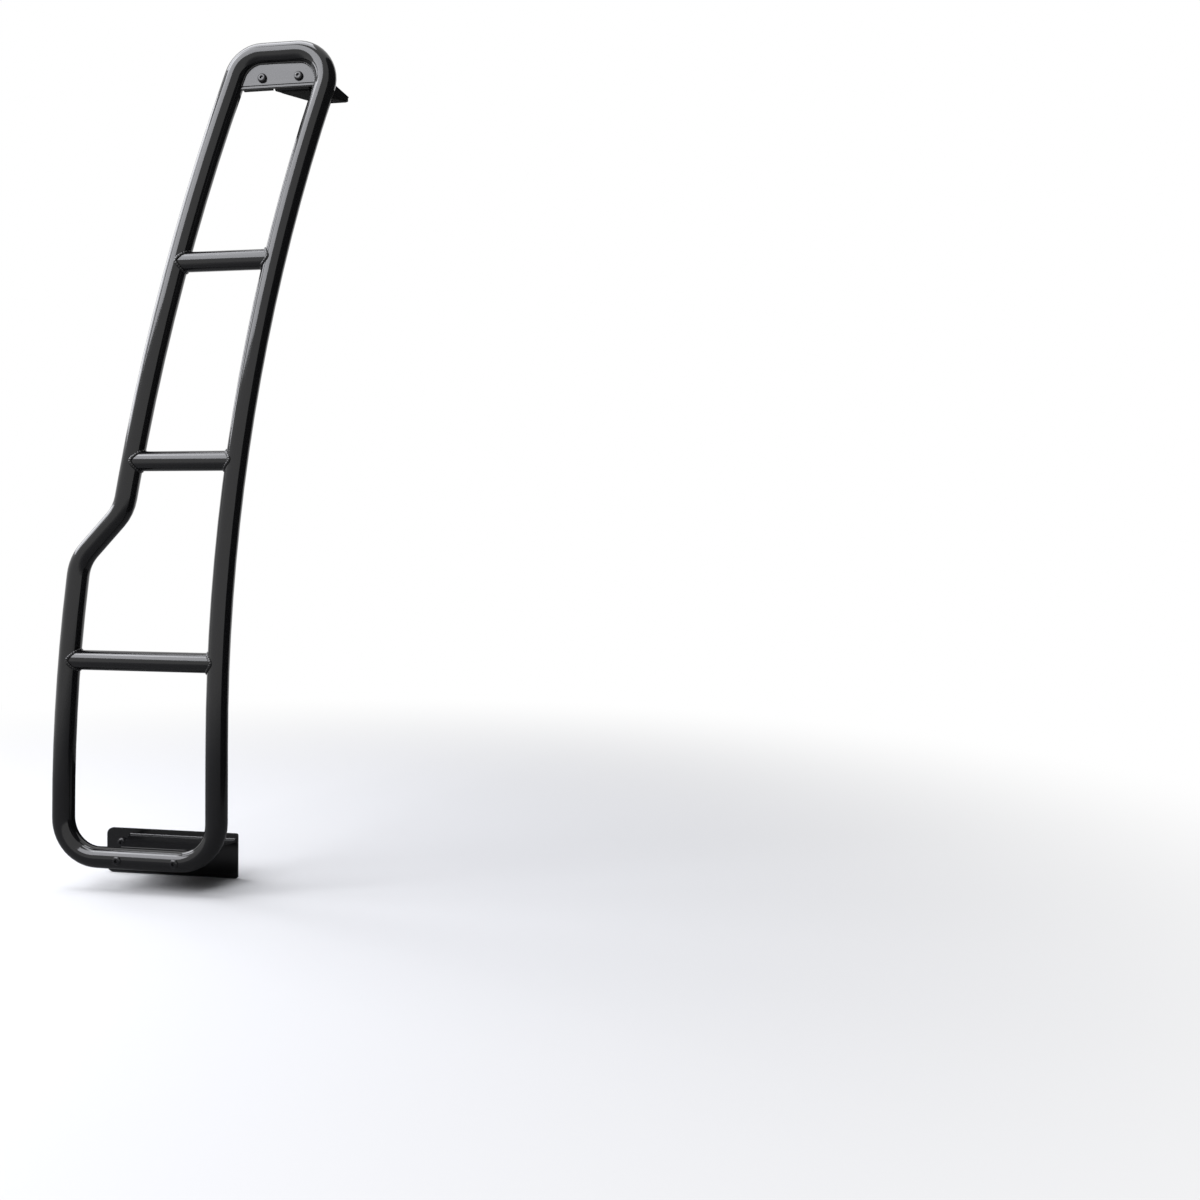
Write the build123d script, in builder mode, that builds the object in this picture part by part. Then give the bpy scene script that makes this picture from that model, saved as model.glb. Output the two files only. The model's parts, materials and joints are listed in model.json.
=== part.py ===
from build123d import *
import math
import os

# Corner ladder for a vehicle's rear body: a bent tube loop with three welded rungs, a face plate
# and folded bracket at the roof edge, and a bracket with a shelf on the body below.
# X runs along the rungs to the right, Y forward into the vehicle and Z up, in millimetres.
# The origin is the middle of the lower bracket's back face, where it lies on the body.

os.makedirs("parts", exist_ok=True)

# Tube stock and joints
tube_diameter = 32.0
tube_wall = 2.0
rung_diameter = 30.0
rung_wall = 2.0
weld_gap = 0.2
joint_straight = 8.0

# Loop: heights above the bottom bow's centreline, and leans in degrees from upright
bow_height = 14.0
rail_spacing = 249.0
first_rung_rise = 297.0
rung_pitch = 300.0
rung_count = 3
top_rise = 316.0
forward_lean_angle = 6.0
right_knee_height = 673.0
right_top_lean_angle = 16.5
left_knee_height = 242.0
left_low_lean_angle = 6.2
jog_height = 447.0
jog_rise = 76.0
jog_shift = 70.5
left_mid_lean_angle = 9.8
left_upper_knee_height = 878.0
left_top_lean_angle = 17.5
bottom_corner_radius = 58.0
top_corner_radius = 45.0
jog_radius = 65.0

# Sheet metal and the bolts' holes
sheet_thickness = 4.0
fold_radius = 3.0
fold_straight = 1.0
bolt_hole_diameter = 8.5

# Face plate inside the top bow
face_plate_thickness = 5.0
face_plate_drop = 50.0
face_bolt_spacing = 58.0
face_bolt_rise = 11.0
face_bolt_offset = 4.0

# Roof bracket behind the face plate
flange_inset = 2.5
flange_overhang = 4.5
fold_relief = 2.0
tongue_clearance = 13.5
tongue_width = 54.0
tongue_skew = 38.0
tongue_reach = 65.0
tongue_corner_radius = 5.0
gusset_height = 18.0
gusset_tip_height = 2.0
gusset_top_run = 36.0
gusset_relief = 5.0
pad_thickness = 2.0
pad_inset = 4.0
roof_bolt_spacing = 28.0
roof_bolt_setback = 18.0
roof_hole_diameter = 6.6

# Lower bracket on the body
plate_width = 222.0
plate_height = 70.0
plate_outer_corner_radius = 10.0
plate_inner_corner_radius = 3.0
body_bolt_spacing = 144.0
body_bolt_offset = -12.0
body_bolt_height = 13.0
shelf_depth = 76.0
shelf_rise = 12.0
shelf_centre = 19.0
shelf_back_width = 182.0
shelf_front_width = 122.0
front_flange_height = 30.0
tube_bolt_spacing = 92.0
seat_gap = 0.2


def tangent(degrees):
    return math.tan(math.radians(degrees))


def along(start, end, length):
    """Point at a length from the start on the way to the end."""
    return start + (end - start).normalized() * length


def turn(before, corner, after):
    """Angle in degrees through which a path turns at a corner."""
    return (corner - before).get_angle(after - corner)


def bend_length(radius, angle):
    """Length of straight tube that a bend takes from each of its two legs."""
    return radius * tangent(angle / 2)


def roll_radius(angle, leg_before, leg_after):
    """Radius of the slow rolled bend that fills the shorter of its two legs."""
    return (min(leg_before, leg_after) - joint_straight) / tangent(angle / 2)


# Vertices of the loop's centreline: the rails lean right and forward as they rise
tube_radius = tube_diameter / 2
frame_depth = sheet_thickness + shelf_depth + seat_gap + tube_radius
top_height = first_rung_rise + (rung_count - 1) * rung_pitch + top_rise
top_slope = tangent(forward_lean_angle)
left_upper_span = left_upper_knee_height - left_knee_height
left_low_slope = top_slope * (left_upper_knee_height - right_knee_height) / left_upper_span


def leaning(start, rise, lean, slope):
    """Vertex a rise above the start, on a line with a lean to the right and a slope forward."""
    return start + Vector(rise * tangent(lean), rise * slope, rise)


bottom_left = Vector(-rail_spacing / 2, -frame_depth, bow_height)
bottom_right = Vector(rail_spacing / 2, -frame_depth, bow_height)
right_knee = leaning(bottom_right, right_knee_height, 0, 0)
top_right = leaning(right_knee, top_height - right_knee_height, right_top_lean_angle, top_slope)
left_knee = leaning(bottom_left, left_knee_height, 0, 0)
jog_foot = leaning(left_knee, jog_height - left_knee_height, left_low_lean_angle, left_low_slope)
jog_head = jog_foot + Vector(jog_shift, jog_rise * left_low_slope, jog_rise)
left_upper_rise = left_upper_knee_height - jog_height - jog_rise
left_upper_knee = leaning(jog_head, left_upper_rise, left_mid_lean_angle, left_low_slope)
left_top_rise = top_height - left_upper_knee_height
top_left = leaning(left_upper_knee, left_top_rise, left_top_lean_angle, top_slope)

# Lengths that the corners' bends take from the rails and bows, and the butt joints past them
left_bottom_leg = bend_length(bottom_corner_radius, turn(bottom_right, bottom_left, left_knee))
right_bottom_leg = bend_length(bottom_corner_radius, turn(bottom_left, bottom_right, right_knee))
left_top_leg = bend_length(top_corner_radius, turn(left_upper_knee, top_left, top_right))
right_top_leg = bend_length(top_corner_radius, turn(top_left, top_right, right_knee))
left_bottom_joint = along(bottom_left, bottom_right, left_bottom_leg + joint_straight)
right_bottom_joint = along(bottom_right, bottom_left, right_bottom_leg + joint_straight)
left_top_joint = along(top_left, top_right, left_top_leg + joint_straight)
right_top_joint = along(top_right, top_left, right_top_leg + joint_straight)

# Rolled bends that follow the curve of the body
jog_foot_leg = bend_length(jog_radius, turn(left_knee, jog_foot, jog_head))
jog_head_leg = bend_length(jog_radius, turn(jog_foot, jog_head, left_upper_knee))
left_low_roll = roll_radius(
    turn(bottom_left, left_knee, jog_foot),
    (left_knee - bottom_left).length - left_bottom_leg,
    (jog_foot - left_knee).length - jog_foot_leg,
)
left_top_roll = roll_radius(
    turn(jog_head, left_upper_knee, top_left),
    (left_upper_knee - jog_head).length - jog_head_leg,
    (top_left - left_upper_knee).length - left_top_leg,
)
right_roll = roll_radius(
    turn(bottom_right, right_knee, top_right),
    (right_knee - bottom_right).length - right_bottom_leg,
    (top_right - right_knee).length - right_top_leg,
)

left_lower_points = [left_bottom_joint, bottom_left, left_knee, jog_foot]
left_upper_points = [jog_head, left_upper_knee, top_left, left_top_joint]
left_rail_points = left_lower_points + left_upper_points
left_lower_radii = [bottom_corner_radius, left_low_roll, jog_radius]
left_upper_radii = [jog_radius, left_top_roll, top_corner_radius]
left_rail_radii = left_lower_radii + left_upper_radii
right_rail_points = [right_bottom_joint, bottom_right, right_knee, top_right, right_top_joint]
right_rail_radii = [bottom_corner_radius, right_roll, top_corner_radius]


def bent_bar(points, radii, outer_radius, bore_radius=0.0):
    """Bar or tube swept along straight runs joined by tangent bends."""
    with BuildPart() as bar:
        with BuildLine() as path:
            FilletPolyline(*points, radius=radii)
        with BuildSketch(Plane(path.line @ 0, z_dir=path.line % 0)):
            Circle(outer_radius)
            if bore_radius:
                Circle(bore_radius, mode=Mode.SUBTRACT)
        sweep()
    return bar.part, path.line


def straight_tube(start, end, outer_radius, bore_radius):
    """Straight tube from one point to another."""
    with BuildPart() as tube:
        with BuildSketch(Plane(start, z_dir=end - start)):
            Circle(outer_radius)
            Circle(bore_radius, mode=Mode.SUBTRACT)
        extrude(amount=(end - start).length)
    return tube.part


def point_at_height(path, height):
    """Point of a rising path at a height, found by halving."""
    low, high = 0.0, 1.0
    for _ in range(40):
        middle = (low + high) / 2
        if (path @ middle).Z < height:
            low = middle
        else:
            high = middle
    return path @ low


def pair(centre, spacing, level):
    """Two places in a row, as sketch points."""
    return [(centre - spacing / 2, level), (centre + spacing / 2, level)]


def save(part, name):
    part.label = name
    export_step(part, f"parts/{name}.step")


# The loop: two bent rails joined by straight bows, with the lower bracket's bolts through one
bore_radius = tube_radius - tube_wall
left_rail, left_path = bent_bar(left_rail_points, left_rail_radii, tube_radius, bore_radius)
right_rail, right_path = bent_bar(right_rail_points, right_rail_radii, tube_radius, bore_radius)
top_bow = straight_tube(left_top_joint, right_top_joint, tube_radius, bore_radius)
bottom_tube = straight_tube(left_bottom_joint, right_bottom_joint, tube_radius, bore_radius)

tube_bolt_places = pair(shelf_centre, tube_bolt_spacing, bow_height)
with BuildPart() as bottom_bow:
    add(bottom_tube)
    with BuildSketch(Plane.XZ.offset(frame_depth)):
        with Locations(*tube_bolt_places):
            Circle(bolt_hole_diameter / 2)
    extrude(amount=tube_diameter, both=True, mode=Mode.SUBTRACT)

save(left_rail, "left_rail")
save(right_rail, "right_rail")
save(top_bow, "top_bow")
save(bottom_bow.part, "bottom_bow")

# Rungs, coped to the rails at both ends
left_cope, _ = bent_bar(left_rail_points, left_rail_radii, tube_radius + weld_gap)
right_cope, _ = bent_bar(right_rail_points, right_rail_radii, tube_radius + weld_gap)
for number in range(rung_count):
    level = bow_height + first_rung_rise + number * rung_pitch
    start = point_at_height(left_path, level)
    end = point_at_height(right_path, level)
    with BuildPart() as rung:
        add(straight_tube(start, end, rung_diameter / 2, rung_diameter / 2 - rung_wall))
        add(left_cope, mode=Mode.SUBTRACT)
        add(right_cope, mode=Mode.SUBTRACT)
    save(rung.part, f"rung_{number + 1}")

# Plane of the top bow's arch, with its own X to the right and its own Y up the rails
arch_plane = Plane(origin=(0, top_left.Y, top_left.Z), x_dir=(1, 0, 0), z_dir=(0, -1, top_slope))
arch_reach = face_plate_drop + tube_diameter + top_corner_radius
arch_vertices = [
    along(top_left, left_upper_knee, arch_reach),
    top_left,
    top_right,
    along(top_right, right_knee, arch_reach),
]
arch_points = []
for vertex in arch_vertices:
    local = arch_plane.to_local_coords(vertex)
    arch_points.append((local.X, local.Y))
face_left = top_left.X - face_plate_drop * tangent(left_top_lean_angle) + tube_radius
face_right = top_right.X - face_plate_drop * tangent(right_top_lean_angle) - tube_radius
face_centre = (face_left + face_right) / 2
face_bolt_places = pair(face_centre + face_bolt_offset, face_bolt_spacing, face_bolt_rise - face_plate_drop)


def arch_plate(inset, front, thickness, drop):
    """Plate that fills the arch down to a drop below its vertices, at an inset from its centreline."""
    with BuildPart() as plate:
        with BuildSketch(arch_plane.offset(front)):
            with BuildLine():
                FilletPolyline(*arch_points, radius=[top_corner_radius, top_corner_radius])
                Line(arch_points[-1], arch_points[0])
            make_face()
            offset(amount=-inset)
            with Locations((face_centre, -drop / 2)):
                Rectangle(rail_spacing, drop, mode=Mode.INTERSECT)
            with Locations(*face_bolt_places):
                Circle(bolt_hole_diameter / 2, mode=Mode.SUBTRACT)
        extrude(amount=-thickness)
    return plate.part


# Face plate welded inside the top bow, on the tube's middle plane
face_plate_front = face_plate_thickness / 2
face_plate = arch_plate(tube_radius + weld_gap, face_plate_front, face_plate_thickness, face_plate_drop)
save(face_plate, "face_plate")

# Roof bracket: a flange bolted behind the face plate and a tongue folded forward over the roof
flange_front = -face_plate_thickness / 2
flange_back = flange_front - sheet_thickness
flange_drop = face_plate_drop + flange_overhang
fold_start = flange_drop - fold_straight - fold_radius - sheet_thickness
front_edge = arch_plane.from_local_coords((0, -fold_start, flange_front))
back_edge = arch_plane.from_local_coords((0, -fold_start, flange_back))
tongue_top = back_edge.Z - fold_straight - fold_radius
tongue_bottom = tongue_top - sheet_thickness
fold_front = front_edge.Y - (front_edge.Z - tongue_bottom) * top_slope
fold_back = back_edge.Y - (back_edge.Z - tongue_top) * top_slope
skew_start = fold_back + fold_radius
tongue_end = fold_front + tongue_reach
tongue_right = face_right - tongue_clearance
tongue_left = tongue_right - tongue_width


def skewed(x, y):
    """Point carried to the right with the tongue's skew, from where the fold ends."""
    return (x + (y - skew_start) * tangent(tongue_skew), y)


tongue_outline = [
    (tongue_left, fold_front),
    (tongue_right, fold_front),
    (tongue_right, skew_start),
    skewed(tongue_right, tongue_end),
    skewed(tongue_left, tongue_end),
    (tongue_left, skew_start),
]
tongue_middle = tongue_left + (tongue_width - sheet_thickness) / 2
roof_bolt_centre = skewed(tongue_middle, tongue_end - roof_bolt_setback)
roof_bolt_places = pair(roof_bolt_centre[0], roof_bolt_spacing, roof_bolt_centre[1])
with BuildPart() as tongue:
    with BuildSketch(Plane.YZ.offset(tongue_left)) as fold_section:
        Polygon(
            (front_edge.Y, front_edge.Z),
            (fold_front, tongue_bottom),
            (tongue_end, tongue_bottom),
            (tongue_end, tongue_top),
            (fold_back, tongue_top),
            (back_edge.Y, back_edge.Z),
            align=None,
        )
        outer_fold = fold_section.vertices().sort_by_distance((fold_front, tongue_bottom))[0]
        fillet(outer_fold, fold_radius + sheet_thickness)
        inner_fold = fold_section.vertices().sort_by_distance((fold_back, tongue_top))[0]
        fillet(inner_fold, fold_radius)
    extrude(amount=skewed(tongue_right, tongue_end)[0] - tongue_left)
    with BuildSketch(Plane.XY.offset(tongue_bottom)) as tongue_plan:
        Polygon(*tongue_outline, align=None)
        fillet(tongue_plan.vertices().group_by(Axis.Y)[-1], tongue_corner_radius)
        with Locations(*roof_bolt_places):
            Circle(roof_hole_diameter / 2, mode=Mode.SUBTRACT)
    extrude(amount=face_plate_drop, mode=Mode.INTERSECT)
with BuildPart() as roof_bracket:
    add(arch_plate(tube_radius + flange_inset, flange_front, sheet_thickness, flange_drop))
    with BuildSketch(arch_plane.offset(flange_front)):
        with Locations((tongue_left - fold_relief, -fold_start)):
            Rectangle(rail_spacing, face_plate_drop, align=(Align.MIN, Align.MAX))
    extrude(amount=-sheet_thickness, mode=Mode.SUBTRACT)
    add(tongue.part)
save(roof_bracket.part, "roof_bracket")

# Gusset that stands on the tongue's right edge and stiffens the fold
skew_sine = math.sin(math.radians(tongue_skew))
skew_cosine = math.cos(math.radians(tongue_skew))
gusset_foot = (tongue_end - skew_start - tongue_corner_radius) / skew_cosine
gusset_plane = Plane(
    origin=(tongue_right, skew_start, tongue_top),
    x_dir=(skew_sine, skew_cosine, 0),
    z_dir=(skew_cosine, -skew_sine, 0),
)
with BuildPart() as roof_gusset:
    with BuildSketch(gusset_plane):
        Polygon(
            (-gusset_height, 0),
            (gusset_foot, 0),
            (gusset_foot, gusset_tip_height),
            (gusset_top_run, gusset_height),
            (-gusset_height, gusset_height),
            align=None,
        )
    extrude(amount=-sheet_thickness)
    split(bisect_by=arch_plane.offset(flange_back), keep=Keep.BOTTOM)
    with BuildSketch(Plane.YZ.offset(tongue_right)):
        with Locations((fold_back, tongue_top)):
            Rectangle(gusset_relief, gusset_relief, align=Align.MIN)
    extrude(amount=tongue_width, both=True, mode=Mode.SUBTRACT)
save(roof_gusset.part, "roof_gusset")

# Rubber pad between the tongue and the roof
with BuildPart() as roof_pad:
    with BuildSketch(Plane.XY.offset(tongue_bottom)):
        Polygon(
            skewed(tongue_left, skew_start),
            skewed(tongue_right, skew_start),
            skewed(tongue_right, tongue_end),
            skewed(tongue_left, tongue_end),
            align=None,
        )
        offset(amount=-pad_inset)
        with Locations(*roof_bolt_places):
            Circle(roof_hole_diameter / 2, mode=Mode.SUBTRACT)
    extrude(amount=-pad_thickness)
save(roof_pad.part, "roof_pad")

# Back plate of the lower bracket, flat against the body
body_bolt_places = pair(body_bolt_offset, body_bolt_spacing, body_bolt_height)
with BuildPart() as lower_plate:
    with BuildSketch(Plane.XZ) as plate_outline:
        Rectangle(plate_width, plate_height)
        fillet(plate_outline.vertices().group_by(Axis.X)[0], plate_outer_corner_radius)
        fillet(plate_outline.vertices().group_by(Axis.X)[-1], plate_inner_corner_radius)
        with Locations(*body_bolt_places):
            Circle(bolt_hole_diameter / 2, mode=Mode.SUBTRACT)
    extrude(amount=sheet_thickness)
save(lower_plate.part, "lower_plate")

# Shelf with a front flange folded down behind the bottom bow, narrowing towards the tube
shelf_top = bow_height + shelf_rise
shelf_underside = shelf_top - sheet_thickness
shelf_back = -sheet_thickness
shelf_front = shelf_back - shelf_depth
front_flange_back = shelf_front + sheet_thickness
front_flange_bottom = shelf_top - front_flange_height
shelf_back_half = shelf_back_width / 2
shelf_front_half = shelf_front_width / 2
with BuildPart() as lower_shelf:
    with BuildSketch(Plane.YZ.offset(shelf_centre)) as shelf_section:
        Polygon(
            (shelf_back, shelf_top),
            (shelf_front, shelf_top),
            (shelf_front, front_flange_bottom),
            (front_flange_back, front_flange_bottom),
            (front_flange_back, shelf_underside),
            (shelf_back, shelf_underside),
            align=None,
        )
        outer_fold = shelf_section.vertices().sort_by_distance((shelf_front, shelf_top))[0]
        fillet(outer_fold, fold_radius + sheet_thickness)
        inner_fold = shelf_section.vertices().sort_by_distance((front_flange_back, shelf_underside))[0]
        fillet(inner_fold, fold_radius)
    extrude(amount=max(shelf_back_half, shelf_front_half), both=True)
    with BuildSketch(Plane.XY.offset(front_flange_bottom)):
        Polygon(
            (shelf_centre - shelf_back_half, shelf_back),
            (shelf_centre + shelf_back_half, shelf_back),
            (shelf_centre + shelf_front_half, front_flange_back),
            (shelf_centre + shelf_front_half, shelf_front),
            (shelf_centre - shelf_front_half, shelf_front),
            (shelf_centre - shelf_front_half, front_flange_back),
            align=None,
        )
    extrude(amount=front_flange_height, mode=Mode.INTERSECT)
    with BuildSketch(Plane.XZ.offset(-shelf_front)):
        with Locations(*tube_bolt_places):
            Circle(bolt_hole_diameter / 2)
    extrude(amount=-sheet_thickness, mode=Mode.SUBTRACT)
save(lower_shelf.part, "lower_shelf")
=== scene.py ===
# %% [markdown]
# # A bent-tube ladder in gloss black
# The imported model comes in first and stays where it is. Its tubes, plates and brackets are already
# true to size. This lesson sets up the camera, the light and the paint, and then adds what a drawing
# leaves out: rounded sheet edges, bolts, washers, nuts and weld beads.

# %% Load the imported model
import bpy
import bmesh
import json
import math
from mathutils import Matrix, Vector


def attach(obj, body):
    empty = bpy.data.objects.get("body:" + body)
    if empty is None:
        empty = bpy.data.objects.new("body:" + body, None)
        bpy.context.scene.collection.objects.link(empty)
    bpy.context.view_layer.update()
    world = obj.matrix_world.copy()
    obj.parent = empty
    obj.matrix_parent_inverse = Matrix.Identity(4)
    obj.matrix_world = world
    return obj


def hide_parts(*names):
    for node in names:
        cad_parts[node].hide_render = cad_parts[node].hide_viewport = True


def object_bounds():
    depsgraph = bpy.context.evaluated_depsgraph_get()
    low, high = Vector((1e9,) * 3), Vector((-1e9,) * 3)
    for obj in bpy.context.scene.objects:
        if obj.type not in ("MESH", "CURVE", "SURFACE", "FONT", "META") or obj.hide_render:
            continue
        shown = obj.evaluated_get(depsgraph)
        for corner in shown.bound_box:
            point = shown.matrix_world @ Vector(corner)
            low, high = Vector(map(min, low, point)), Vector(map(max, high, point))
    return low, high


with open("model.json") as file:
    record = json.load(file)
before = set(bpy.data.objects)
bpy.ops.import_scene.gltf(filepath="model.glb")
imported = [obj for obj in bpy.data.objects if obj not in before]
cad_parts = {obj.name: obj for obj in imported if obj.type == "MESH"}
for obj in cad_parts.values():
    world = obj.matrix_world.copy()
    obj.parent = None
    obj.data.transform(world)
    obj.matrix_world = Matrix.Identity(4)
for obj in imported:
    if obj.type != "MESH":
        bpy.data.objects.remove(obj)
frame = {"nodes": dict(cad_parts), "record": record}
cad_box = [list(corner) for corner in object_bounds()]
bpy.ops.object.select_all(action="DESELECT")
scene = bpy.context.scene
scene.view_settings.view_transform = "Standard"
MM = 0.001
print("CAD nodes:", sorted(frame["nodes"]))
print("CAD box:", cad_box)

# %% [markdown]
# ## The camera
# The photograph was taken from behind and to the right, at about hip height, with the lens almost
# level. A camera that is built from its own right, up and forward directions lands exactly there.
# Turning it is better than a large lens shift, because every other view keeps the shift.

# %% Place the camera
camera_place = Vector((971.4, -1707.7, 489.5)) * MM
camera_yaw = math.radians(9.63)
camera_pitch = math.radians(-0.73)
camera_roll = math.radians(0.37)

forward = Vector((-math.sin(camera_yaw) * math.cos(camera_pitch),
                  math.cos(camera_yaw) * math.cos(camera_pitch),
                  math.sin(camera_pitch)))
level_right = Vector((math.cos(camera_yaw), math.sin(camera_yaw), 0))
level_up = level_right.cross(forward)
right = level_right * math.cos(camera_roll) + level_up * math.sin(camera_roll)
up = level_up * math.cos(camera_roll) - level_right * math.sin(camera_roll)
camera_turn = Matrix((right, up, -forward)).transposed().to_4x4()

bpy.ops.object.camera_add()
camera = bpy.context.object
camera.name = "photo_camera"
camera.matrix_world = Matrix.Translation(camera_place) @ camera_turn
camera.data.sensor_width = 36.0
camera.data.lens = 35.157
camera.data.shift_y = -0.0333
camera.data.dof.use_dof = False
scene.camera = camera
print("camera at", tuple(round(value, 3) for value in camera_place))

# %% [markdown]
# ## Helpers for the floor
# The floor is pale paint near the ladder and plain white far away, so its material mixes two shaders
# by the distance from the origin. A dark disc further down uses the same helpers.

# %% A disc and a material that fades with distance
def floor_disc(name, sides, radius, place):
    bpy.ops.mesh.primitive_circle_add(vertices=sides, radius=radius, fill_type="NGON",
                                      location=place)
    disc = bpy.context.object
    disc.name = name
    bpy.ops.object.transform_apply(location=True, rotation=True, scale=True)
    return disc


def fading_material(name, grey, roughness, fade_start, fade_end, far_shader):
    material = bpy.data.materials.new(name)
    material.use_nodes = True
    nodes, links = material.node_tree.nodes, material.node_tree.links
    near = nodes["Principled BSDF"]
    near.inputs["Base Color"].default_value = (grey, grey, grey, 1)
    near.inputs["Roughness"].default_value = roughness
    far = nodes.new(far_shader)
    place = nodes.new("ShaderNodeTexCoord")
    distance = nodes.new("ShaderNodeVectorMath")
    distance.operation = "LENGTH"
    fade = nodes.new("ShaderNodeMapRange")
    fade.interpolation_type = "SMOOTHSTEP"
    fade.inputs["From Min"].default_value = fade_start
    fade.inputs["From Max"].default_value = fade_end
    mix = nodes.new("ShaderNodeMixShader")
    links.new(place.outputs["Object"], distance.inputs[0])
    links.new(distance.outputs["Value"], fade.inputs["Value"])
    links.new(fade.outputs["Result"], mix.inputs["Fac"])
    links.new(near.outputs["BSDF"], mix.inputs[1])
    links.new(far.outputs[0], mix.inputs[2])
    links.new(mix.outputs["Shader"], nodes["Material Output"].inputs["Surface"])
    return material


print("floor helpers ready")

# %% [markdown]
# ## Floor
# A pale floor lies just under the lower bracket and fades into a white surround, so no horizon line
# cuts the picture.

# %% Pale floor
floor_gap = 0.001
floor_level = cad_box[0][2] - floor_gap
floor = floor_disc("studio_floor", sides=128, radius=14.0, place=(0.08, 0.0, floor_level))
pale_floor = fading_material("pale_floor", grey=0.66, roughness=0.7, fade_start=0.4, fade_end=2.2,
                             far_shader="ShaderNodeEmission")
pale_floor.node_tree.nodes["Principled BSDF"].inputs["Specular IOR Level"].default_value = 0.2
floor.data.materials.append(pale_floor)
print("floor at", round(floor_level, 4))

# %% [markdown]
# ## Surround
# The surround is white to the camera and to reflections. Everything else gets only a gentle fill
# light from it, so the panels below shape the ladder.

# %% White surround
world = bpy.data.worlds.new("white_surround")
scene.world = world
world.use_nodes = True
nodes, links = world.node_tree.nodes, world.node_tree.links
nodes.clear()
path = nodes.new("ShaderNodeLightPath")
camera_or_gloss = nodes.new("ShaderNodeMath")
camera_or_gloss.operation = "MAXIMUM"
seen = nodes.new("ShaderNodeMath")
seen.operation = "MAXIMUM"
shown = nodes.new("ShaderNodeBackground")
shown.inputs["Color"].default_value = (1, 1, 1, 1)
fill = nodes.new("ShaderNodeBackground")
fill.inputs["Color"].default_value = (0.95, 0.97, 1.0, 1)
fill.inputs["Strength"].default_value = 0.12
mix = nodes.new("ShaderNodeMixShader")
output = nodes.new("ShaderNodeOutputWorld")
links.new(path.outputs["Is Camera Ray"], camera_or_gloss.inputs[0])
links.new(path.outputs["Is Glossy Ray"], camera_or_gloss.inputs[1])
links.new(camera_or_gloss.outputs["Value"], seen.inputs[0])
links.new(path.outputs["Is Transmission Ray"], seen.inputs[1])
links.new(seen.outputs["Value"], mix.inputs["Fac"])
links.new(fill.outputs["Background"], mix.inputs[1])
links.new(shown.outputs["Background"], mix.inputs[2])
links.new(mix.outputs["Shader"], output.inputs["Surface"])
print("surround:", world.name)

# %% [markdown]
# ## Light
# Gloss black shows little but what it reflects. Open sky lights the real ladder from above and from
# the left, and leaves a pale band on every tube. A few bright panels stand in for that sky. They are
# no larger than the bands need, so the floor and the rest of the scene stay at a plain level.

# %% Soft panels
def soft_panel(name, place, target, width, height, watts):
    bpy.ops.object.light_add(type="AREA", location=place)
    panel = bpy.context.object
    panel.name = name
    panel.data.shape = "RECTANGLE"
    panel.data.size = width
    panel.data.size_y = height
    panel.data.energy = watts
    panel.data.color = sky
    aim = Vector(target) - Vector(place)
    panel.rotation_euler = aim.to_track_quat("-Z", "Y").to_euler()
    return panel


sky = (0.94, 0.95, 1.0)
soft_panel("panel_behind", place=(-1.47, -2.2, 2.72), target=(0.15, -0.05, 1.0),
           width=3.0, height=2.35, watts=150.0)
soft_panel("panel_above", place=(-0.9, -0.2, 3.2), target=(0.1, 0.0, 0.8),
           width=1.8, height=2.4, watts=85.0)
soft_panel("panel_left", place=(-2.6, 0.2, 1.95), target=(0.1, 0.0, 0.9),
           width=2.2, height=1.5, watts=55.0)

# %% [markdown]
# ## Dark cards
# A studio puts black cards beside a gloss object so that one side of every tube stays deep and the
# round form reads. One card stands to the right, and two small ones lie close to the lower bracket
# and under the roof tongue. Only reflections see them: they cast no shadow, and no camera sees them.

# %% Cards for the dark side of the tubes
def only_reflected(card, finish):
    card.visible_camera = False
    card.visible_diffuse = False
    card.visible_shadow = False
    card.visible_transmission = False
    card.data.materials.append(finish)
    return card


def dark_card(name, corner, across, along):
    bpy.ops.mesh.primitive_plane_add(size=1.0)
    card = bpy.context.object
    card.name = name
    corner, across, along = Vector(corner), Vector(across), Vector(along)
    for vert in card.data.vertices:
        vert.co = corner + across * (vert.co.x + 0.5) + along * (vert.co.y + 0.5)
    return only_reflected(card, card_black)


card_black = bpy.data.materials.new("card_black")
card_black.use_nodes = True
card_shader = card_black.node_tree.nodes["Principled BSDF"]
card_shader.inputs["Base Color"].default_value = (0.01, 0.01, 0.01, 1)
card_shader.inputs["Roughness"].default_value = 1.0
right_card_top, low_card_top, roof_card_level = 2.3, 0.13, 1.167
dark_card("card_right", corner=(0.8, -0.42, floor_level), across=(0, 1.37, 0),
          along=(0, 0, right_card_top - floor_level))
dark_card("card_low", corner=(-0.2, 0.03, floor_level), across=(0.32, 0, 0),
          along=(0, 0, low_card_top - floor_level))
dark_card("card_roof", corner=(0.10, -0.034, roof_card_level), across=(0.24, 0, 0),
          along=(0, 0.104, 0))

# %% [markdown]
# ## Dark cloth
# The lower half of a tube mirrors the ground, and real ground is darker than a studio floor. A round
# dark cloth lies on the floor for reflections alone. It is dark near the ladder and fades to
# nothing, so that no edge of it shows on the tubes.

# %% Cloth for the underside of the tubes
cloth_radius = 3.0
cloth_level = floor_level + 0.002
cloth_dark = fading_material("cloth_dark", grey=0.15, roughness=1.0, fade_start=0.8,
                             fade_end=cloth_radius, far_shader="ShaderNodeBsdfTransparent")
cloth = floor_disc("dark_cloth", sides=96, radius=cloth_radius, place=(0, 0, cloth_level))
only_reflected(cloth, cloth_dark)
print("cloth radius:", round(cloth.dimensions.x / 2, 2))

# %% [markdown]
# ## Powder coat
# Powder coat is a thick gloss paint that is baked on. Its skin has a faint orange-peel ripple a few
# millimetres wide, and its gloss changes a little where it was wiped or touched. Several finishes
# share that, so the ripple and the gloss are one node group with its own inputs.

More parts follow.
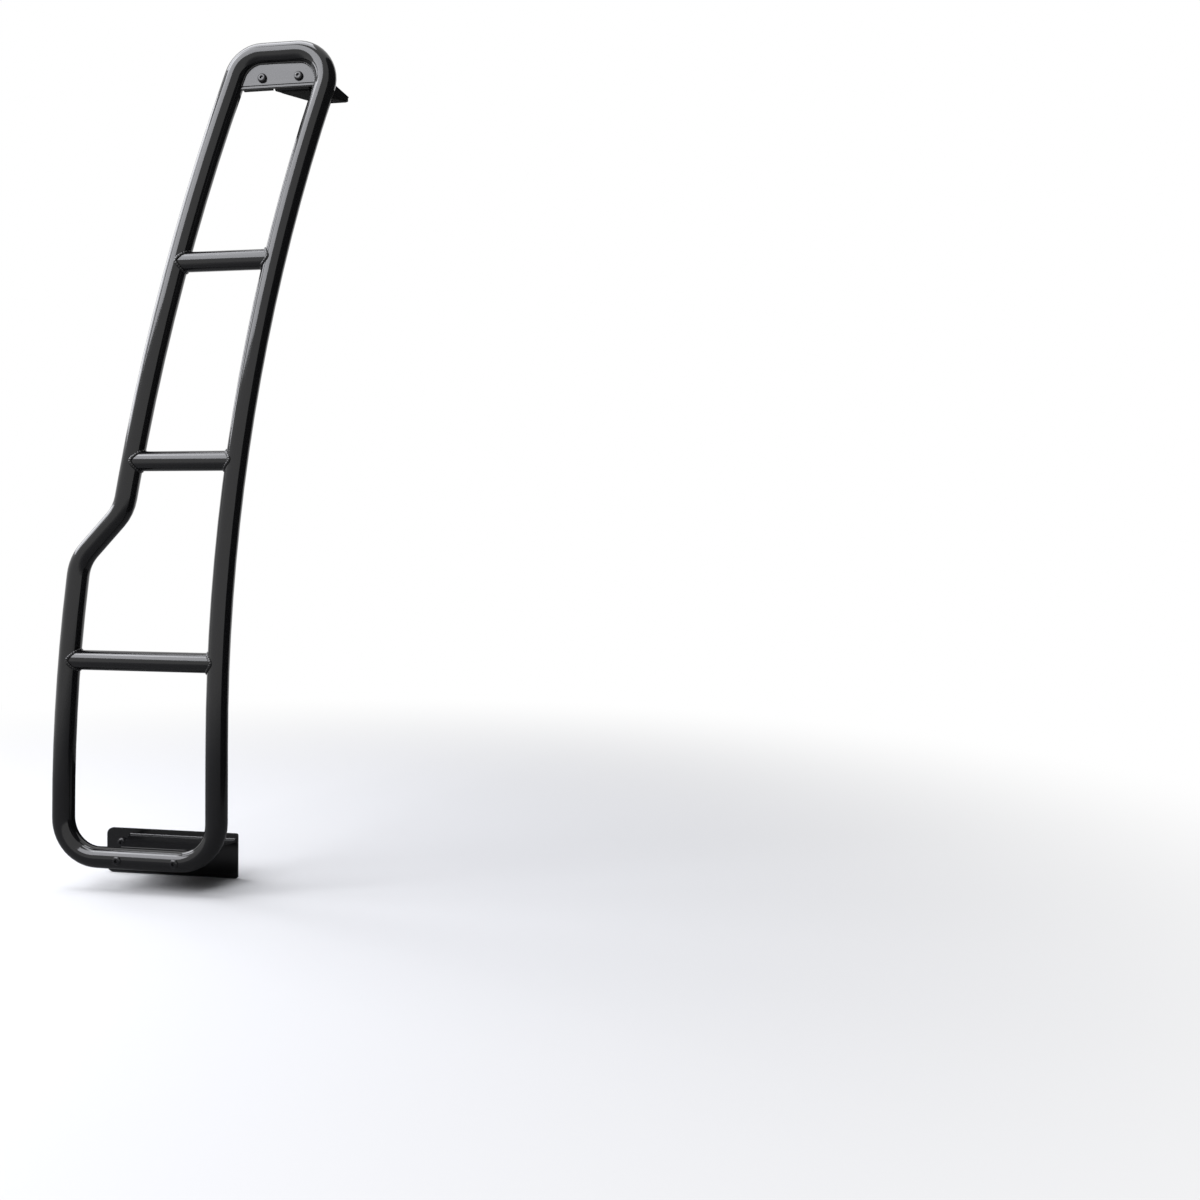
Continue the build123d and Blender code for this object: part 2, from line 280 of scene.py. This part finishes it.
# %% Shared skin of baked paint
skin = bpy.data.node_groups.new("baked_skin", "ShaderNodeTree")
for name, value in (("Ripple Scale", 320.0), ("Gloss Low", 0.08), ("Gloss High", 0.16)):
    socket = skin.interface.new_socket(name, in_out="INPUT", socket_type="NodeSocketFloat")
    socket.default_value = value
for name in ("Height", "Roughness", "Dust"):
    skin.interface.new_socket(name, in_out="OUTPUT", socket_type="NodeSocketFloat")
nodes, links = skin.nodes, skin.links
entry = nodes.new("NodeGroupInput")
leave = nodes.new("NodeGroupOutput")
place = nodes.new("ShaderNodeTexCoord")
ripple = nodes.new("ShaderNodeTexNoise")
ripple.inputs["Detail"].default_value = 1.5
handled = nodes.new("ShaderNodeTexNoise")
handled.inputs["Scale"].default_value = 22.0
handled.inputs["Detail"].default_value = 4.0
gloss = nodes.new("ShaderNodeMapRange")
gloss.inputs["From Min"].default_value = 0.35
gloss.inputs["From Max"].default_value = 0.7
specks = nodes.new("ShaderNodeTexNoise")
specks.inputs["Scale"].default_value = 900.0
specks.inputs["Detail"].default_value = 2.0
dust = nodes.new("ShaderNodeMapRange")
dust.inputs["From Min"].default_value = 0.62
dust.inputs["From Max"].default_value = 0.8
for texture in (ripple, handled, specks):
    links.new(place.outputs["Object"], texture.inputs["Vector"])
links.new(entry.outputs["Ripple Scale"], ripple.inputs["Scale"])
links.new(handled.outputs["Fac"], gloss.inputs["Value"])
links.new(entry.outputs["Gloss Low"], gloss.inputs["To Min"])
links.new(entry.outputs["Gloss High"], gloss.inputs["To Max"])
links.new(specks.outputs["Fac"], dust.inputs["Value"])
links.new(ripple.outputs["Fac"], leave.inputs["Height"])
links.new(gloss.outputs["Result"], leave.inputs["Roughness"])
links.new(dust.outputs["Result"], leave.inputs["Dust"])
print("group:", skin.name)

# %% [markdown]
# ## One finish
# A finish mixes a dark paint with a dusty one, takes its gloss from the shared skin and turns the
# ripple into a slight bump. A number that is the same all over a piece is typed straight into the
# shader.

# %% Material built round the shared skin
def baked_finish(name, dark, dusty, ripple_scale, gloss_range, bump, ior):
    material = bpy.data.materials.new(name)
    material.use_nodes = True
    nodes, links = material.node_tree.nodes, material.node_tree.links
    shader = nodes["Principled BSDF"]
    shader.inputs["IOR"].default_value = ior
    surface = nodes.new("ShaderNodeGroup")
    surface.node_tree = skin
    surface.inputs["Ripple Scale"].default_value = ripple_scale
    surface.inputs["Gloss Low"].default_value = gloss_range[0]
    surface.inputs["Gloss High"].default_value = gloss_range[1]
    colour = nodes.new("ShaderNodeMix")
    colour.data_type = "RGBA"
    colour.inputs["A"].default_value = (*dark, 1)
    colour.inputs["B"].default_value = (*dusty, 1)
    relief = nodes.new("ShaderNodeBump")
    relief.inputs["Strength"].default_value = bump
    relief.inputs["Distance"].default_value = 0.0004
    links.new(surface.outputs["Dust"], colour.inputs["Factor"])
    links.new(colour.outputs["Result"], shader.inputs["Base Color"])
    links.new(surface.outputs["Roughness"], shader.inputs["Roughness"])
    links.new(surface.outputs["Height"], relief.inputs["Height"])
    links.new(relief.outputs["Normal"], shader.inputs["Normal"])
    return material


print("finish helper ready")

# %% [markdown]
# ## Finishes
# The tubes, the sheet metal, the welds, the fasteners and the rubber pad each get a material of
# their own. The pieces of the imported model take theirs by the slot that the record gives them.

# %% Five finishes
tube_coat = baked_finish(
    "tube_powder_coat", dark=(0.004, 0.004, 0.0045), dusty=(0.012, 0.0115, 0.011),
    ripple_scale=300.0, gloss_range=(0.07, 0.14), bump=0.05, ior=1.47)
plate_coat = baked_finish(
    "plate_powder_coat", dark=(0.005, 0.005, 0.0055), dusty=(0.014, 0.0135, 0.013),
    ripple_scale=340.0, gloss_range=(0.12, 0.20), bump=0.06, ior=1.47)
weld_coat = baked_finish(
    "coated_weld", dark=(0.005, 0.005, 0.0055), dusty=(0.014, 0.0135, 0.013),
    ripple_scale=700.0, gloss_range=(0.10, 0.18), bump=0.12, ior=1.47)
bolt_black = baked_finish(
    "blackened_bolt", dark=(0.005, 0.005, 0.006), dusty=(0.016, 0.015, 0.014),
    ripple_scale=1500.0, gloss_range=(0.09, 0.17), bump=0.05, ior=1.45)
pad_rubber = baked_finish(
    "pad_rubber", dark=(0.010, 0.010, 0.010), dusty=(0.024, 0.023, 0.022),
    ripple_scale=1400.0, gloss_range=(0.60, 0.78), bump=0.35, ior=1.45)
finishes = {"tube_coat": tube_coat, "plate_coat": plate_coat, "pad_rubber": pad_rubber}

for subpart in frame["record"]["subparts"]:
    node = frame["nodes"][subpart["node"]]
    node.data.materials.clear()
    node.data.materials.append(finishes[subpart["material_slot"]])
print("finishes:", [material.name for material in finishes.values()])

# %% [markdown]
# ## Working in edit mode
# Every new piece is shaped with the same few moves: open one object in edit mode, choose vertices,
# edges or faces by where they are, and run an operator on them. The helper chooses by a test, so the
# lesson never depends on the order in which a primitive happens to number its faces.

# %% Helpers for opening, choosing and dressing
def make_active(piece):
    bpy.ops.object.select_all(action="DESELECT")
    piece.select_set(True)
    bpy.context.view_layer.objects.active = piece


def open_piece(piece):
    make_active(piece)
    bpy.ops.object.mode_set(mode="EDIT")
    bpy.ops.mesh.select_mode(type="VERT")
    bpy.ops.mesh.select_all(action="DESELECT")


def close_piece():
    bpy.ops.object.mode_set(mode="OBJECT")


def choose(piece, kind, test):
    bpy.ops.mesh.select_mode(type=kind)
    bpy.ops.mesh.select_all(action="DESELECT")
    mesh = bmesh.from_edit_mesh(piece.data)
    for element in {"VERT": mesh.verts, "EDGE": mesh.edges, "FACE": mesh.faces}[kind]:
        if test(element):
            element.select_set(True)
    bmesh.update_edit_mesh(piece.data)


def dress(piece, finish, smooth_angle=35):
    make_active(piece)
    bpy.ops.object.transform_apply(location=True, rotation=True, scale=True)
    bpy.ops.object.shade_smooth_by_angle(angle=math.radians(smooth_angle))
    piece.data.materials.clear()
    piece.data.materials.append(finish)
    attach(piece, "root")
    return piece


print("edit helpers ready")

# %% [markdown]
# ## Shaping moves
# Four more moves come back in several pieces: a cylinder that stands on a given level, a Boolean
# cut, edges rounded by a Bevel, and a merged copy of one of the drawing's own pieces.

# %% Helpers for shaping
def cylinder(sides, radius, height, bottom=0.0):
    bpy.ops.mesh.primitive_cylinder_add(vertices=sides, radius=radius, depth=height,
                                        location=(0, 0, bottom + height / 2))
    bpy.ops.object.transform_apply(location=True, rotation=True, scale=True)
    return bpy.context.object


def cut_with(piece, cutter):
    cut = piece.modifiers.new("cut", "BOOLEAN")
    cut.operation = "DIFFERENCE"
    cut.object = cutter
    make_active(piece)
    bpy.ops.object.modifier_apply(modifier=cut.name)
    bpy.data.objects.remove(cutter)


def round_edges(piece, width, segments):
    rounding = piece.modifiers.new("rounding", "BEVEL")
    rounding.width = width
    rounding.segments = segments
    rounding.limit_method = "ANGLE"
    rounding.angle_limit = math.radians(40)
    make_active(piece)
    bpy.ops.object.modifier_apply(modifier=rounding.name)


def merged_copy(node_name, name, flat_angle):
    piece = bpy.data.objects.new(name, frame["nodes"][node_name].data.copy())
    scene.collection.objects.link(piece)
    open_piece(piece)
    bpy.ops.mesh.select_all(action="SELECT")
    bpy.ops.mesh.remove_doubles(threshold=0.02 * MM)
    bpy.ops.mesh.dissolve_limited(angle_limit=math.radians(flat_angle))
    close_piece()
    return piece


print("shaping helpers ready")

# %% [markdown]
# ## Rounded sheet edges
# A sheared and folded plate never has a knife edge: deburring and paint leave it about half a
# millimetre round, and that roundness catches a thin line of light. Each sheet piece is a merged
# copy of its drawing with its edges bevelled, and it stands in for the drawing's own.

# %% Bevelled copies of the sheet pieces
sheet_rounding = 0.6 * MM
for node_name in ("face_plate", "roof_bracket", "roof_gusset", "lower_plate", "lower_shelf"):
    sheet = merged_copy(node_name, "rounded_" + node_name, flat_angle=1.0)
    round_edges(sheet, sheet_rounding, segments=3)
    dress(sheet, plate_coat, smooth_angle=16)
    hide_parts(node_name)
    print(node_name, "faces:", len(sheet.data.polygons))

# %% [markdown]
# ## Button-head bolts
# The ladder is held by low domed bolts with a hexagon socket. A cylinder gives the head: its top rim
# is bevelled into a dome, its bottom face is inset and pulled down into the shank, and a six-sided
# cutter leaves the socket.

# %% Model the bolts
HAIR = 1e-6


def button_bolt(name, head, height, shank, key, length):
    bolt = cylinder(48, head / 2, height)
    bolt.name = name
    open_piece(bolt)
    choose(bolt, "EDGE", lambda edge: all(vert.co.z > height - HAIR for vert in edge.verts))
    bpy.ops.mesh.bevel(offset=height * 0.78, segments=7, profile=0.5, affect="EDGES",
                       clamp_overlap=True)
    choose(bolt, "FACE", lambda face: face.normal.z < -0.9)
    bpy.ops.mesh.inset(thickness=(head - shank) / 2, depth=0)
    bpy.ops.mesh.extrude_region_move(TRANSFORM_OT_translate={"value": (0, 0, -length)})
    choose(bolt, "EDGE", lambda edge: all(vert.co.z < HAIR - length for vert in edge.verts))
    bpy.ops.mesh.bevel(offset=shank * 0.1, segments=2, affect="EDGES")
    choose(bolt, "EDGE", lambda edge: all(
        abs(vert.co.z) < HAIR and vert.co.xy.length > head * 0.49 for vert in edge.verts))
    bpy.ops.mesh.bevel(offset=height * 0.08, segments=2, affect="EDGES")
    close_piece()
    cut_with(bolt, cylinder(6, key / math.sqrt(3), height, bottom=height * 0.45))
    return bolt


large = dict(head=14.0 * MM, height=4.2 * MM, shank=8.0 * MM, key=5.0 * MM)
small = dict(head=10.5 * MM, height=3.2 * MM, shank=6.0 * MM, key=4.0 * MM)
short_bolt = button_bolt("pattern_short_bolt", length=19.5 * MM, **large)
long_bolt = button_bolt("pattern_long_bolt", length=43.0 * MM, **large)
body_bolt = button_bolt("pattern_body_bolt", length=5.6 * MM, **large)
roof_bolt = button_bolt("pattern_roof_bolt", length=7.2 * MM, **small)
patterns = [short_bolt, long_bolt, body_bolt, roof_bolt]
print("patterns:", [pattern.name for pattern in patterns])

# %% [markdown]
# ## Washers and nuts
# A washer is a short cylinder with a round hole cut through it, and its rims are rounded a little. A
# nut is the same with six sides.

# %% Model the washers and the nut
def ring(name, sides, outer, inner, thickness, rounding):
    piece = cylinder(sides, outer, thickness)
    piece.name = name
    cut_with(piece, cylinder(40, inner, thickness * 3, bottom=-thickness))
    round_edges(piece, rounding, segments=2)
    return piece


washer_thickness = 1.6
roof_washer_thickness = 1.2
nut_across_flats = 13.0
washer = ring("pattern_washer", sides=48, outer=8.0 * MM, inner=4.05 * MM,
              thickness=washer_thickness * MM, rounding=0.25 * MM)
roof_washer = ring("pattern_roof_washer", sides=48, outer=6.0 * MM, inner=3.05 * MM,
                   thickness=roof_washer_thickness * MM, rounding=0.2 * MM)
nut = ring("pattern_nut", sides=6, outer=nut_across_flats / math.sqrt(3) * MM, inner=4.05 * MM,
           thickness=6.5 * MM, rounding=0.5 * MM)
patterns += [washer, roof_washer, nut]
print("patterns:", [pattern.name for pattern in patterns[-3:]])

# %% [markdown]
# ## Where the fasteners sit
# The face plate leans with the arch, so its bolts are placed in the arch's own directions: x across,
# y up along the plate and z out of it. The other places are plain coordinates. All are in
# millimetres, and each seat is the face that a head, a washer or a nut rests on.

# %% Places, seats and the arch's directions
arch_lean = math.radians(6)
arch_origin = Vector((0, -39.4437, 1227)) * MM
arch_up = Vector((0, math.sin(arch_lean), math.cos(arch_lean)))
arch_out = Vector((0, -math.cos(arch_lean), math.sin(arch_lean)))


def on_arch(x, y, z):
    return arch_origin + Vector((x, 0, 0)) * MM + arch_up * y * MM + arch_out * z * MM


face_bolt_places = ((169.547, -39.0), (227.547, -39.0))
tube_bolt_places = ((-27.0, 14.0), (65.0, 14.0))
body_bolt_places = ((-84.0, 13.0), (60.0, 13.0))
roof_bolt_places = ((228.05, 4.297), (256.05, 4.297))
face_front, flange_back = 2.5, -6.5
bow_front, shelf_flange_back = -110.4, -76.0
lower_plate_front = -4.0
tongue_top = 1176.075
print("arch directions:", tuple(arch_up), tuple(arch_out))

# %% [markdown]
# ## Copies in place
# Each fastener is a copy of its pattern, turned from the pattern's upright axis to the way it points
# and moved to its seat. The patterns themselves are removed at the end.

# %% Place the fasteners
def fasten(pattern, name, place, axis):
    piece = bpy.data.objects.new(name, pattern.data.copy())
    scene.collection.objects.link(piece)
    turn = Vector(axis).to_track_quat("Z", "X").to_matrix().to_4x4()
    piece.matrix_world = Matrix.Translation(place) @ turn
    fasteners.append(dress(piece, bolt_black))


fasteners = []
backwards, forwards, upwards = (0, -1, 0), (0, 1, 0), (0, 0, 1)
for number, (x, y) in enumerate(face_bolt_places, 1):
    nut_seat = flange_back - washer_thickness
    fasten(short_bolt, f"face_bolt_{number}", on_arch(x, y, face_front), arch_out)
    fasten(washer, f"face_washer_{number}", on_arch(x, y, flange_back), -arch_out)
    fasten(nut, f"face_nut_{number}", on_arch(x, y, nut_seat), -arch_out)
for number, (x, z) in enumerate(tube_bolt_places, 1):
    fasten(long_bolt, f"tube_bolt_{number}", Vector((x, bow_front, z)) * MM, backwards)
    fasten(nut, f"tube_nut_{number}", Vector((x, shelf_flange_back, z)) * MM, forwards)
for number, (x, z) in enumerate(body_bolt_places, 1):
    head_seat = lower_plate_front - washer_thickness
    fasten(body_bolt, f"body_bolt_{number}", Vector((x, head_seat, z)) * MM, backwards)
    fasten(washer, f"body_washer_{number}", Vector((x, lower_plate_front, z)) * MM, backwards)
for number, (x, y) in enumerate(roof_bolt_places, 1):
    head_seat = tongue_top + roof_washer_thickness
    fasten(roof_bolt, f"roof_bolt_{number}", Vector((x, y, head_seat)) * MM, upwards)
    fasten(roof_washer, f"roof_washer_{number}", Vector((x, y, tongue_top)) * MM, upwards)
for pattern in patterns:
    bpy.data.objects.remove(pattern)
print("fasteners:", len(fasteners))

# %% [markdown]
# ## Weld beads
# A bead starts as a wire along the joint. The wire becomes a round curve whose thickness swells and
# thins with the welder's steps, and drifts a little over a longer way.

# %% Helper that turns a wire into a bead
bead_swell, bead_drift, drift_pace = 0.08, 0.05, 0.37


def bead_from_wire(wire, name, radius, step):
    make_active(wire)
    bpy.ops.object.transform_apply(location=True, rotation=True, scale=True)
    bpy.ops.object.convert(target="CURVE")
    bead = bpy.context.object
    bead.name = name
    bead.data.bevel_depth = radius
    bead.data.bevel_resolution = 3
    bead.data.use_fill_caps = True
    for spline in bead.data.splines:
        for index, point in enumerate(spline.points):
            swell = bead_swell * math.sin(2 * math.pi * index / step)
            drift = bead_drift * math.sin(index * drift_pace)
            point.radius = 1.0 + swell + drift
    bpy.ops.object.convert(target="MESH")
    return dress(bpy.context.object, weld_coat)


print("bead helper ready")

# %% [markdown]
# ## Beads at the rung ends
# Each rung end is welded all round to its rail, and the bead follows the saddle where one tube meets
# the other. A circle of the rung's size is cast along the rung onto the rail with a Shrinkwrap.

# %% Beads at both ends of every rung
rung_radius = 15.0 * MM
rung_bead_radius = 2.5 * MM


def rung_bead(rung, side, centre, axis):
    bpy.ops.mesh.primitive_circle_add(vertices=160, radius=rung_radius)
    wire = bpy.context.object
    turn = axis.to_track_quat("Z", "X").to_matrix().to_4x4()
    wire.matrix_world = Matrix.Translation(centre) @ turn
    cast = wire.modifiers.new("cast", "SHRINKWRAP")
    cast.wrap_method = "PROJECT"
    cast.use_project_z = True
    cast.use_positive_direction = True
    cast.use_negative_direction = False
    cast.target = frame["nodes"][side + "_rail"]
    bpy.ops.object.modifier_apply(modifier=cast.name)
    return bead_from_wire(wire, f"weld_{rung}_{side}", rung_bead_radius, step=5)


rung_ends = {
    "rung_1": ((-116.6, -93.7, 311.0), (126.3, -95.6, 311.0)),
    "rung_2": ((-18.9, -84.2, 611.0), (149.6, -87.3, 611.0)),
    "rung_3": ((44.6, -68.1, 911.0), (200.5, -69.2, 911.0)),
}
for rung, (left_end, right_end) in rung_ends.items():
    left_end, right_end = Vector(left_end) * MM, Vector(right_end) * MM
    middle = (left_end + right_end) / 2
    axis = (right_end - left_end).normalized()
    rung_bead(rung, "left", middle, -axis)
    rung_bead(rung, "right", middle, axis)
print("rung beads:", 2 * len(rung_ends))

# %% [markdown]
# ## Beads round the face plate
# The face plate is welded into the arch. Its own outline gives the path: the edges of its front or
# back rim are kept, without the free lower edge and the bolt holes, and cut into short steps.

# %% Beads on the front and the back of the face plate
plate_foot = -49.9
hole_reach = 6.0
longest_step = 1.0 * MM


def on_rim(edge, level):
    if edge.calc_face_angle(0) < math.radians(30):
        return False
    heights = [(vert.co - arch_origin).dot(arch_up) / MM for vert in edge.verts]
    depths = [(vert.co - arch_origin).dot(arch_out) / MM for vert in edge.verts]
    if max(heights) < plate_foot or any(abs(depth - level) > 0.05 for depth in depths):
        return False
    middle = Vector(((edge.verts[0].co.x + edge.verts[1].co.x) / 2 / MM, sum(heights) / 2))
    return all((middle - Vector(place)).length > hole_reach for place in face_bolt_places)


def arch_bead(name, level, radius):
    wire = merged_copy("face_plate", name + "_wire", flat_angle=0.5)
    open_piece(wire)
    choose(wire, "EDGE", lambda edge: not on_rim(edge, level))
    bpy.ops.mesh.delete(type="EDGE")
    choose(wire, "VERT", lambda vert: not vert.link_edges)
    bpy.ops.mesh.delete(type="VERT")
    for _ in range(5):
        choose(wire, "EDGE", lambda edge: edge.calc_length() > longest_step)
        if wire.data.total_edge_sel:
            bpy.ops.mesh.subdivide(number_cuts=1)
    close_piece()
    return bead_from_wire(wire, name, radius, step=4)


arch_bead("weld_face_front", level=2.5, radius=1.5 * MM)
arch_bead("weld_face_back", level=-2.5, radius=1.2 * MM)
print("face plate beads: 2")

# %% [markdown]
# ## Straight beads
# The shelf is welded along its back edge and the gusset along its foot. A grid one cell wide, with
# one side taken away, gives each straight wire.

# %% Beads along the shelf and the gusset
wire_step = 0.7 * MM


def straight_bead(name, start, end, radius):
    start, end = Vector(start) * MM, Vector(end) * MM
    span = end - start
    steps = max(8, int(span.length / wire_step))
    bpy.ops.mesh.primitive_grid_add(x_subdivisions=steps, y_subdivisions=1, size=1.0)
    wire = bpy.context.object
    open_piece(wire)
    choose(wire, "VERT", lambda vert: vert.co.y > 0)
    bpy.ops.mesh.delete(type="VERT")
    bpy.ops.mesh.select_all(action="SELECT")
    bpy.ops.transform.translate(value=(0.5, 0.5, 0))
    close_piece()
    turn = span.to_track_quat("X", "Z").to_matrix().to_4x4()
    stretch = Matrix.Diagonal((span.length, 1, 1, 1))
    wire.matrix_world = Matrix.Translation(start) @ turn @ stretch
    return bead_from_wire(wire, name, radius, step=4)


straight_bead("weld_shelf_top", (-70, -4.4, 26.2), (108, -4.4, 26.2), radius=1.9 * MM)
straight_bead("weld_shelf_under", (-70, -4.4, 21.8), (108, -4.4, 21.8), radius=1.9 * MM)
straight_bead("weld_gusset_foot", (241.9, -26.5, 1176.4), (275.2, 16.1, 1176.4), radius=1.6 * MM)
print("straight beads: 3")

# %% [markdown]
# ## Lip under the face plate
# A narrow lip closes the face plate's lower edge over the bracket's flange, and it shows as a thin
# second line of light under the plate. A cube is stretched to the strip, its lower side is slid
# along so that the ends follow the leaning rails, and its long edges are rounded.

# %% Lip along the face plate's lower edge
lip_size = (115.4 * MM, 4.3 * MM, 4.8 * MM)
lip_slide = -1.3 * MM
lip_rounding = 0.9 * MM
bpy.ops.mesh.primitive_cube_add(size=1.0)
lip = bpy.context.object
lip.name = "face_lip"
open_piece(lip)
bpy.ops.mesh.select_all(action="SELECT")
bpy.ops.transform.resize(value=lip_size)
choose(lip, "VERT", lambda vert: vert.co.y < 0)
bpy.ops.transform.translate(value=(lip_slide, 0, 0))
choose(lip, "EDGE", lambda edge: edge.calc_length() > lip_size[0] / 2)
bpy.ops.mesh.bevel(offset=lip_rounding, segments=3, affect="EDGES")
close_piece()
lip_turn = Matrix((Vector((1, 0, 0)), arch_up, arch_out)).transposed().to_4x4()
lip.matrix_world = Matrix.Translation(on_arch(194.3, -52.3, 0)) @ lip_turn
dress(lip, plate_coat, smooth_angle=30)
print("lip:", [round(value / MM, 1) for value in lip.dimensions])
